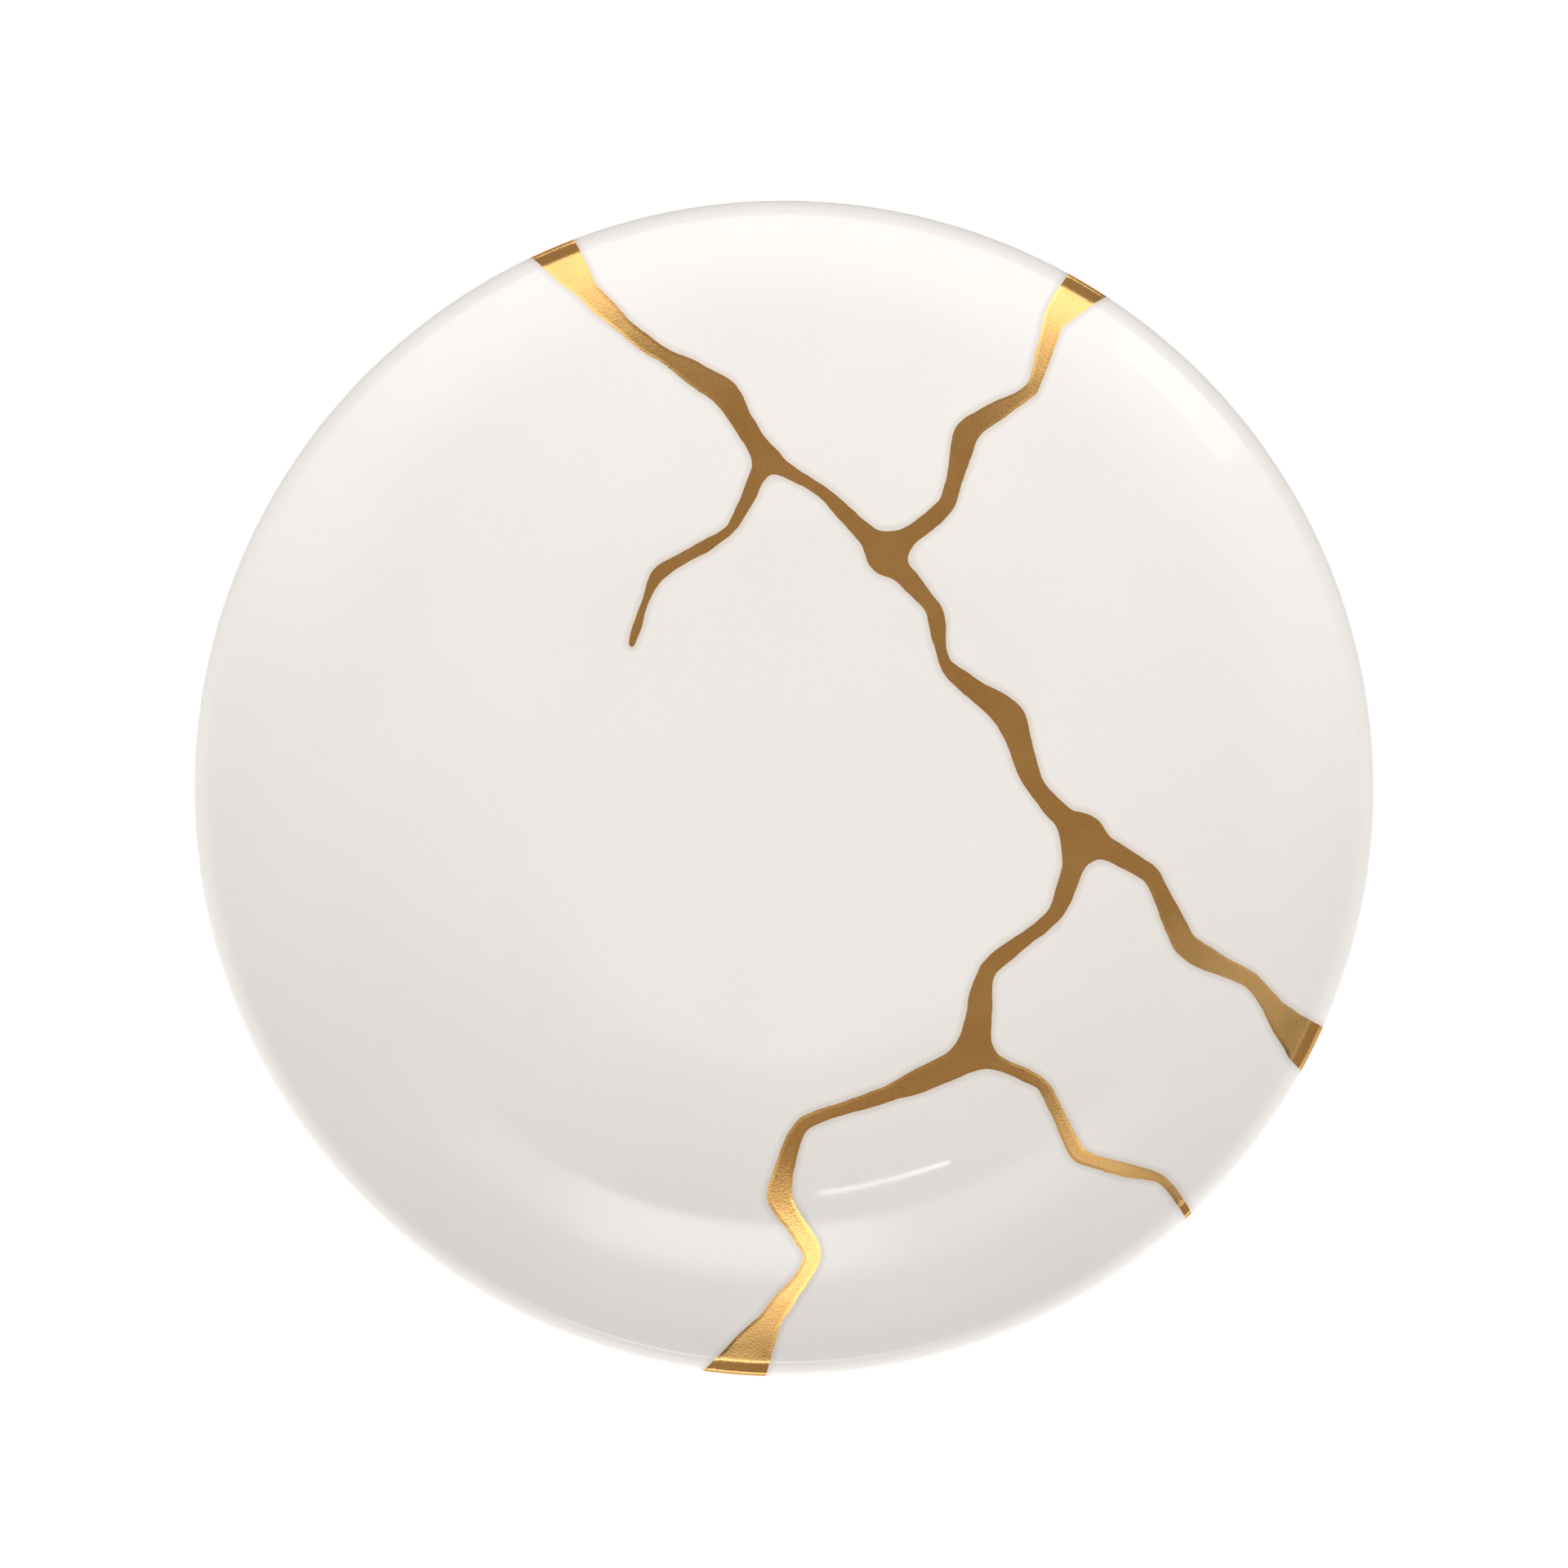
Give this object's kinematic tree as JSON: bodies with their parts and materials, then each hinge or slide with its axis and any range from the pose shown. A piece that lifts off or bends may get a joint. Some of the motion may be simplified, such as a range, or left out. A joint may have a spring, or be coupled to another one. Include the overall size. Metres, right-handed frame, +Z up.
{
  "type": "bread and butter plate",
  "caption": "Small round rimless porcelain plate with a flat well, a rising wall, a foot ring and gold-mended seams.",
  "frame": {"origin": "centre of the foot ring's contact plane, which is the bottom centre of the plate's box", "axes": "+Z up along the plate's axis of turning; X and Y lie in the table plane"},
  "size_m": [0.16, 0.16, 0.0205],
  "materials": {
    "glazed_porcelain": "gloss glaze, warm white, with fired-on gold seams"
  },
  "bodies": {
    "root": {"plate": "glazed_porcelain"}
  },
  "joints": []
}
